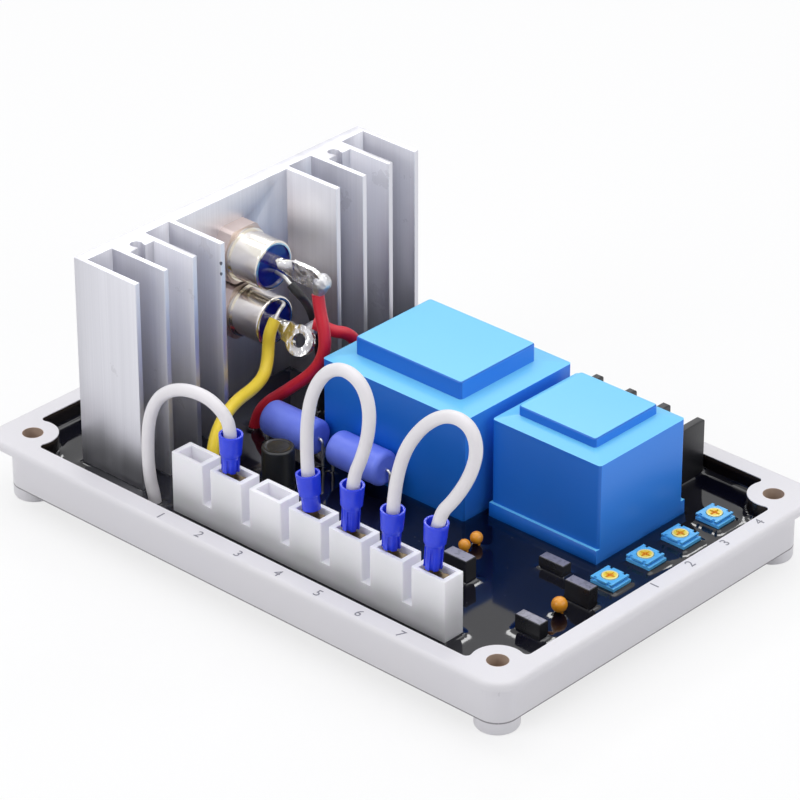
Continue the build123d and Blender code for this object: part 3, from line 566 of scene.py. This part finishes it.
def rimKind(place):
    if nearBox(place, "large_transformer", 0.3 * mm) or nearBox(place, "small_transformer", 0.3 * mm):
        return "transformer"
    if not nearBox(place, "potting_resin", -0.2 * mm):
        return "wall"
    corner = Vector((abs(place.x), abs(place.y))) - Vector(resin["corner"]) * mm
    return "wall" if corner.length < resin["cornerRadius"] * mm else "body"


def sliceFaces(shape, faces, axis, cell):
    # Cuts the faces at every cell, taking up only those that each cut crosses
    direction = Vector((1 - axis, axis, 0))
    snap = resin["snap"] * mm

    def first(face):
        return min(vert.co[axis] for vert in face.verts)

    def last(face):
        return max(vert.co[axis] for vert in face.verts)

    waiting = sorted(faces, key=first, reverse=True)
    active, done = [], []
    cut = first(waiting[-1]) + cell
    while waiting or active:
        while waiting and first(waiting[-1]) < cut:
            active.append(waiting.pop())
        crossing = [face for face in active if last(face) > cut + snap]
        done += [face for face in active if last(face) <= cut + snap]
        active = []
        if crossing:
            verts = {vert for face in crossing for vert in face.verts}
            edges = {edge for face in crossing for edge in face.edges}
            made = bmesh.ops.bisect_plane(shape, geom=[*crossing, *edges, *verts], dist=snap,
                                          plane_co=direction * cut, plane_no=direction)
            for item in made["geom"]:
                if isinstance(item, bmesh.types.BMFace):
                    (active if last(item) > cut + snap else done).append(item)
        cut += cell
    return done


def findRims(top):
    # One tree of places for each kind of edge that the open surface ends at
    topFaces = set(top)
    rims = {kind: [] for kind in resin["creep"]}
    for edge in {edge for face in top for edge in face.edges}:
        if all(face in topFaces for face in edge.link_faces):
            continue
        begin, along = edge.verts[0].co, edge.verts[1].co - edge.verts[0].co
        steps = ceil(along.length / (resin["rimStep"] * mm))
        for step in range(steps + 1):
            place = begin + along * step / max(steps, 1)
            rims[rimKind(place)].append(place.copy())
    trees = {}
    for kind, places in rims.items():
        trees[kind] = kdtree.KDTree(len(places))
        for index, place in enumerate(places):
            trees[kind].insert(place, index)
        trees[kind].balance()
    return trees


def pourResin():
    makeActive(nodes["potting_resin"])
    bpy.ops.object.duplicate()
    piece = bpy.context.object
    for key in list(piece.keys()):
        del piece[key]
    piece.parent = None
    startEdit(piece, "VERT")
    bpy.ops.mesh.select_all(action="SELECT")
    bpy.ops.mesh.remove_doubles(threshold=0.002 * mm)
    endEdit()

    shape = bmesh.new()
    shape.from_mesh(piece.data)
    top = [face for face in shape.faces
           if face.normal.z > 0.99 and face.calc_center_median().z > resinTop - resin["snap"] * mm]
    for axis in (0, 1):
        top = sliceFaces(shape, top, axis, resin["cell"] * mm)
    trees = findRims(top)
    for vert in {vert for face in top for vert in face.verts}:
        height = resin["level"] + resin["swell"] * noise.noise(vert.co * 40)
        for kind, (rise, reach) in resin["creep"].items():
            height += rise * exp(-trees[kind].find(vert.co)[2] / (reach * mm))
        vert.co.z = resinTop + height * mm
    shape.to_mesh(piece.data)
    shape.free()
    finishPiece(piece, "resinPour", resinFinish, smoothAngle=60)
    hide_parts("potting_resin")
    print("resin triangles:", sum(len(face.vertices) - 2 for face in piece.data.polygons))


pourResin()
print("resin poured")


# Wires: the part's own routes, in mm, as smooth lines

wires = {
    "sensing_lead": {
        "finish": whiteWireFinish, "slot": "wire_white", "radius": 1.55,
        "points": [(-12.76, -43.4, 32.3), (-12.51, -43.4, 39.59), (-14.6, -43.9, 43.4), (-19.4, -44.4, 45.9),
                   (-26.6, -45.2, 45.6), (-33.0, -45.9, 42.0), (-36.6, -46.3, 35.4), (-37.6, -46.5, 26.0),
                   (-37.0, -46.5, 17.4), (-35.6, -46.5, 13.6), (-35.2, -46.5, 9.6)],
    },
    "jumper_4_5": {
        "finish": whiteWireFinish, "slot": "wire_white", "radius": 1.55,
        "points": [(12.61, -43.4, 32.27), (11.81, -43.4, 38.82), (11.9, -43.4, 50.5), (13.9, -43.4, 59.4),
                   (18.4, -43.4, 66.2), (24.0, -43.4, 68.8), (29.2, -43.4, 67.0), (31.5, -43.4, 61.8),
                   (31.1, -43.4, 54.8), (29.0, -43.4, 47.8), (26.09, -43.4, 41.28), (25.54, -43.4, 32.29)],
    },
    "jumper_6_7": {
        "finish": whiteWireFinish, "slot": "wire_white", "radius": 1.55,
        "points": [(38.11, -43.4, 32.29), (38.5, -43.4, 39.78), (40.1, -43.4, 49.0), (42.9, -43.4, 56.6),
                   (48.4, -43.4, 64.2), (55.0, -43.4, 69.0), (61.2, -43.4, 68.8), (63.7, -43.4, 63.8),
                   (61.8, -43.4, 56.4), (57.2, -43.4, 48.4), (51.78, -43.4, 41.75), (50.95, -43.4, 32.28)],
    },
    "yellow_gate_wire": {
        "finish": yellowWireFinish, "slot": "wire_yellow", "radius": 1.55,
        "points": [(-40.99, 0.48, 40.33), (-40.78, -1.57, 38.28), (-41.0, -1.9, 34.4), (-39.9, -3.4, 31.0),
                   (-38.2, -6.4, 28.7), (-36.6, -12.0, 28.0), (-34.8, -19.0, 28.6), (-33.0, -25.4, 27.6),
                   (-31.4, -30.4, 24.0), (-30.6, -32.4, 17.4), (-30.4, -32.6, 9.6)],
    },
    "upper_cathode_wire": {
        "finish": redWireFinish, "slot": "wire_red", "radius": 1.55,
        "points": [(-30.2, 4.4, 49.8), (-29.3, 4.0, 46.2), (-27.4, 3.3, 42.4), (-26.4, 2.9, 37.2),
                   (-27.8, 2.2, 32.4), (-30.5, 1.2, 28.6), (-33.8, 0.0, 25.4), (-37.1, -1.6, 22.3),
                   (-40.6, -3.2, 19.2), (-43.1, -4.5, 14.8), (-43.7, -4.9, 9.6)],
    },
    "lower_cathode_wire": {
        "finish": redWireFinish, "slot": "wire_red", "radius": 1.55,
        "points": [(-34.2, 6.7, 39.3), (-32.4, 8.0, 38.9), (-30.2, 9.8, 37.4), (-28.0, 12.2, 36.9),
                   (-26.6, 14.2, 34.0), (-26.2, 15.4, 27.0), (-26.0, 15.7, 18.0), (-26.2, 15.8, 9.6)],
    },
    "upper_gate_wire": {
        "finish": blackWireFinish, "slot": "wire_black", "radius": 1.1,
        "points": [(-39.72, 4.9, 48.74), (-37.37, 5.03, 47.05), (-37.0, 7.0, 44.6), (-37.3, 9.6, 40.2),
                   (-37.6, 11.6, 33.4), (-37.6, 12.6, 25.4), (-37.4, 12.8, 17.4), (-37.2, 12.6, 9.6)],
    },
}


def layWire(nodeName, wire):
    curve = bpy.data.curves.new(nodeName, "CURVE")
    curve.dimensions = "3D"
    curve.bevel_depth = wire["radius"] * mm
    curve.bevel_resolution = 6
    curve.resolution_u = 10
    curve.use_fill_caps = True
    spline = curve.splines.new("NURBS")
    spline.points.add(len(wire["points"]) - 1)
    for point, place in zip(spline.points, wire["points"]):
        point.co = (place[0] * mm, place[1] * mm, place[2] * mm, 1)
    spline.order_u = 3
    spline.use_endpoint_u = True
    piece = bpy.data.objects.new(nodeName, curve)
    bpy.context.scene.collection.objects.link(piece)
    makeActive(piece)
    bpy.ops.object.convert(target="MESH")
    piece = bpy.context.object
    startEdit(piece)
    bpy.ops.mesh.select_all(action="SELECT")
    bpy.ops.mesh.remove_doubles(threshold=0.001 * mm)
    bpy.ops.mesh.normals_make_consistent(inside=False)
    endEdit()
    name = "".join(word if i == 0 else word.title() for i, word in enumerate(nodeName.split("_")))
    finishPiece(piece, name + "Line", wire["finish"], smoothAngle=60)
    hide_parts(nodeName)


for nodeName, wire in wires.items():
    layWire(nodeName, wire)
print("wires laid")


# Solder: lumpy joints on the two cathode lugs

solderLumps = {"height": 0.16, "size": 900, "drawOut": 0.75}
solder = {
    "upper_solder_joint": {"centre": (-28.9, 4.5, 53.2), "radius": 2.3, "tail": (-30.3, 4.4, 49.6)},
    "lower_solder_joint": {"centre": (-35.1, 6.3, 37.0), "radius": 1.9, "tail": (-34.0, 6.8, 39.2)},
}


def addSolder(nodeName, joint):
    centre = Vector(joint["centre"]) * mm
    tail = Vector(joint["tail"]) * mm
    toTail = tail - centre
    deselectAll()
    bpy.ops.mesh.primitive_ico_sphere_add(subdivisions=5, radius=joint["radius"] * mm, location=centre)
    piece = bpy.context.object
    applyPlace(piece)
    startEdit(piece, "VERT")
    shape = bmesh.from_edit_mesh(piece.data)
    for vert in shape.verts:
        out = (vert.co - centre).normalized()
        along = max(0.0, out.dot(toTail.normalized()))
        vert.co += toTail * solderLumps["drawOut"] * along ** 3
        vert.co += out * solderLumps["height"] * mm * noise.noise(vert.co * solderLumps["size"])
    bmesh.update_edit_mesh(piece.data)
    endEdit()
    name = nodeName.split("_")[0] + "SolderBlob"
    finishPiece(piece, name, solderFinish, smoothAngle=180)
    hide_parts(nodeName)


for nodeName, joint in solder.items():
    addSolder(nodeName, joint)
print("solder added")


# Rotor slots: an orange cross at the bottom of each trimmer's slot

rotorCross = {"length": 2.8, "width": 0.52, "thickness": 0.1, "slotDepth": 0.45, "lift": 0.02}  # mm


def addRotorCross(rotorName, body):
    low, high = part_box(rotorName)
    centre = (low + high) / 2
    base = high.z - rotorCross["slotDepth"] * mm + rotorCross["lift"] * mm
    half = rotorCross["width"] * mm / 2
    deselectAll()
    bpy.ops.mesh.primitive_cube_add(size=2 * half, location=(centre.x, centre.y, base))
    piece = bpy.context.object
    piece.scale.z = rotorCross["thickness"] / rotorCross["width"]
    applyPlace(piece)
    arm = (rotorCross["length"] - rotorCross["width"]) / 2 * mm
    for direction in (Vector((1, 0, 0)), Vector((-1, 0, 0)), Vector((0, 1, 0)), Vector((0, -1, 0))):
        startEdit(piece)
        pickFaces(piece, lambda middle, normal: normal.dot(direction) > 0.9
                  and (middle - Vector((centre.x, centre.y, base))).length < 1.1 * half)
        bpy.ops.mesh.extrude_region_move(TRANSFORM_OT_translate={"value": direction * arm})
        endEdit()
    finishPiece(piece, rotorName.replace("trimmer_rotor_", "rotorCross"), slotFinish, body)


for number, rotorName in enumerate(rotorNames, start=1):
    addRotorCross(rotorName, f"rotor_{number}")
print("rotor slots filled")


# Plain numbers printed on the rim

rimNumbers = {
    "size": 3.6,
    "rise": 0.03,
    "frontX": [-24.3 + 12.7 * pocket for pocket in range(7)],
    "frontY": -55.6,
    "sideX": 80.6,
    "sideY": [-1.5 + 12.7 * trimmer for trimmer in range(4)],
}


def printNumber(text, x, y, turn, name):
    deselectAll()
    bpy.ops.object.text_add(location=(x * mm, y * mm, rimTop + rimNumbers["rise"] * mm),
                            rotation=(0, 0, radians(turn)))
    piece = bpy.context.object
    piece.data.body = text
    piece.data.size = rimNumbers["size"] * mm
    piece.data.align_x = "CENTER"
    piece.data.align_y = "CENTER"
    piece.data.extrude = 0.02 * mm
    piece.data.resolution_u = 4
    makeActive(piece)
    bpy.ops.object.convert(target="MESH")
    finishPiece(bpy.context.object, name, inkFinish)


for pocket, x in enumerate(rimNumbers["frontX"], start=1):
    printNumber(str(pocket), x, rimNumbers["frontY"], 0, f"frontNumber{pocket}")
for trimmer, y in enumerate(rimNumbers["sideY"], start=1):
    printNumber(str(trimmer), rimNumbers["sideX"], y, 90, f"sideNumber{trimmer}")
print("rim numbered")


# Dished lid of the upright capacitor

canLid = {"radius": 3.45, "thickness": 0.12, "sunk": 0.02, "rim": 0.35, "step": 0.12, "dish": 0.06, "flat": 0.5}  # mm


def addCanLid():
    low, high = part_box("can_capacitor")
    centre = (low + high) / 2
    deselectAll()
    bpy.ops.mesh.primitive_cylinder_add(
        vertices=48, radius=canLid["radius"] * mm, depth=canLid["thickness"] * mm,
        location=(centre.x, centre.y, high.z + canLid["thickness"] / 2 * mm - canLid["sunk"] * mm))
    piece = bpy.context.object
    applyPlace(piece)
    startEdit(piece)
    pickFaces(piece, lambda middle, normal: normal.z > 0.9)
    bpy.ops.mesh.inset(thickness=canLid["rim"] * mm, depth=0)
    bpy.ops.mesh.inset(thickness=canLid["step"] * mm, depth=-canLid["dish"] * mm)
    bpy.ops.mesh.inset(thickness=canLid["flat"] * mm, depth=0)
    endEdit()
    finishPiece(piece, "canLid", lidFinish)


addCanLid()
print("lid added")


# Camera at the photograph's viewing angle

camera = {
    "place": (0.58200, -0.62941, 0.51297),
    "azimuth": 42.73,
    "elevation": 29.2,
    "roll": -0.12,
    "lens": 186.81,
    "sensor": 36.0,
}


def placeCamera():
    azimuth, elevation, roll = (radians(camera[name]) for name in ("azimuth", "elevation", "roll"))
    back = Vector((sin(azimuth) * cos(elevation), -cos(azimuth) * cos(elevation), sin(elevation)))
    right = Vector((cos(azimuth), sin(azimuth), 0))
    up = back.cross(right)
    across = cos(roll) * right + sin(roll) * up
    upward = cos(roll) * up - sin(roll) * right
    data = bpy.data.cameras.new("photoView")
    data.lens = camera["lens"]
    data.sensor_width = camera["sensor"]
    data.clip_start = 0.05
    data.clip_end = 20
    made = bpy.data.objects.new("photoView", data)
    turn = Matrix((across, upward, back)).transposed().to_4x4()
    made.matrix_world = Matrix.Translation(camera["place"]) @ turn
    bpy.context.scene.collection.objects.link(made)
    bpy.context.scene.camera = made


placeCamera()


# Floor, studio light and a pale surround

studio = {
    "floorColour": rgb(0.90, 0.90, 0.91),
    "floorGlow": 0.72,
    "skyLight": 0.34,
    "lamps": {
        "topLamp": {"place": (0.05, 0.10, 0.90), "size": (1.0, 1.0), "watts": 5.0},
        "farStrip": {"place": (-0.51, 0.56, 0.66), "size": (0.46, 0.10), "watts": 1.1},
        "leftStrip": {"place": (-0.62, 0.02, 0.80), "size": (0.20, 0.20), "watts": 0.6},
        "sideLamp": {"place": (0.85, 0.15, 0.45), "size": (0.6, 0.5), "watts": 1.6},
        "frontLamp": {"place": (-0.25, -0.85, 0.55), "size": (0.6, 0.5), "watts": 2.8},
    },
}


def buildStudio():
    deselectAll()
    bpy.ops.mesh.primitive_plane_add(size=8, location=(0, 0, 0))
    floor = bpy.context.object
    floor.name = "studioFloor"
    made, place = startMaterial("studioFloor")
    diffuse = place.node("BsdfDiffuse", None, {"Color": studio["floorColour"]})
    glow = place.node("Emission", None, {"Color": rgb(1, 1, 1), "Strength": 1.0})
    rays = place.node("LightPath", None, None, "Is Camera Ray")
    glossy = place.node("LightPath", None, None, "Is Glossy Ray")
    share = studio["floorGlow"] * (rays + glossy).clamped()
    mixed = place.node("MixShader", None, {0: share, 1: diffuse, 2: glow})
    place.node("OutputMaterial", None, {"Surface": mixed})
    floor.data.materials.append(made)

    world = bpy.data.worlds.new("paleSurround")
    world.use_nodes = True
    world.node_tree.nodes.clear()
    start = Signal(world.node_tree)
    seen = start.node("Background", None, {"Color": rgb(1, 1, 1), "Strength": 1.0})
    light = start.node("Background", None, {"Color": rgb(0.97, 0.98, 1.0), "Strength": studio["skyLight"]})
    direct = start.node("LightPath", None, None, "Is Camera Ray")
    glossy = start.node("LightPath", None, None, "Is Glossy Ray")
    passing = start.node("LightPath", None, None, "Is Transmission Ray")
    share = (direct + glossy + passing).clamped()
    mixed = start.node("MixShader", None, {0: share, 1: light, 2: seen})
    start.node("OutputWorld", None, {"Surface": mixed})
    bpy.context.scene.world = world

    for name, lamp in studio["lamps"].items():
        data = bpy.data.lights.new(name, "AREA")
        data.shape = "RECTANGLE"
        data.size, data.size_y = lamp["size"]
        data.energy = lamp["watts"]
        made = bpy.data.objects.new(name, data)
        made.location = lamp["place"]
        made.rotation_mode = "QUATERNION"
        made.rotation_quaternion = Vector(lamp["place"]).to_track_quat("Z", "Y")
        bpy.context.scene.collection.objects.link(made)


buildStudio()
bpy.context.scene.view_settings.view_transform = "Standard"
print("studio built")
